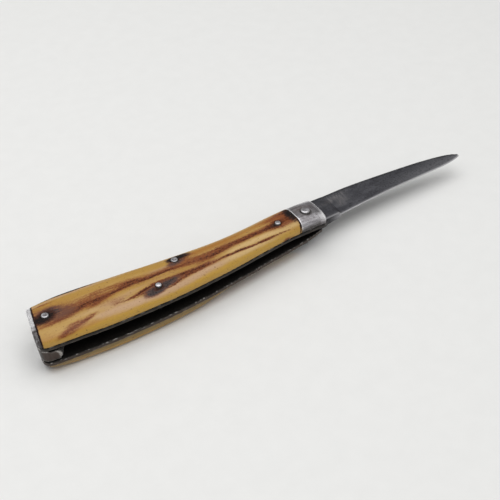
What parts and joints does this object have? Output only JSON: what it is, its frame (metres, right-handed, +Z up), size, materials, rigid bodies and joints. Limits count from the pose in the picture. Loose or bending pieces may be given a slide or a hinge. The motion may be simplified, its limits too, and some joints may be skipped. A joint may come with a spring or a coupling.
{
  "type": "folding whittling knife",
  "caption": "Folding slip-joint whittling knife: slender worn blade that swings into a swelled stag handle with iron bolsters, liners, butt caps and a back spring.",
  "frame": {"origin": "on the rest face, the flat crown of the rear scale, under the middle of the handle", "axes": "+X along the handle to the blade's tip, +Y to the knife's back, +Z up out of the front scale"},
  "size_m": [0.1618, 0.0199, 0.0138],
  "materials": {
    "stag": "polished stag antler with dark bark streaks",
    "worn_iron": "worn grey iron, rubbed bright on its edges",
    "dark_iron": "dark iron with file marks",
    "blade_steel": "dark mottled patina with a bright cutting edge",
    "pin_steel": "hammered bright domes"
  },
  "bodies": {
    "handle": {"back_spring": "dark_iron", "front_liner": "dark_iron", "rear_liner": "dark_iron", "front_bolster": "worn_iron", "rear_bolster": "worn_iron", "front_butt_cap": "worn_iron", "rear_butt_cap": "worn_iron", "front_scale": "stag", "rear_scale": "stag", "pivot_pin": "pin_steel", "spring_pin": "pin_steel", "butt_pin": "pin_steel", "front_fore_rivet": "pin_steel", "front_mid_rivet": "pin_steel", "rear_fore_rivet": "pin_steel", "rear_mid_rivet": "pin_steel"},
    "blade": {"blade": "blade_steel"}
  },
  "joints": [
    {"name": "blade_pivot", "type": "hinge", "parent": "handle", "child": "blade", "pos_m": [0.0434, 0.0023, 0.0066], "axis": [0, 0, -1], "range_deg": [0, 180], "deforming": ["back_spring"]}
  ]
}
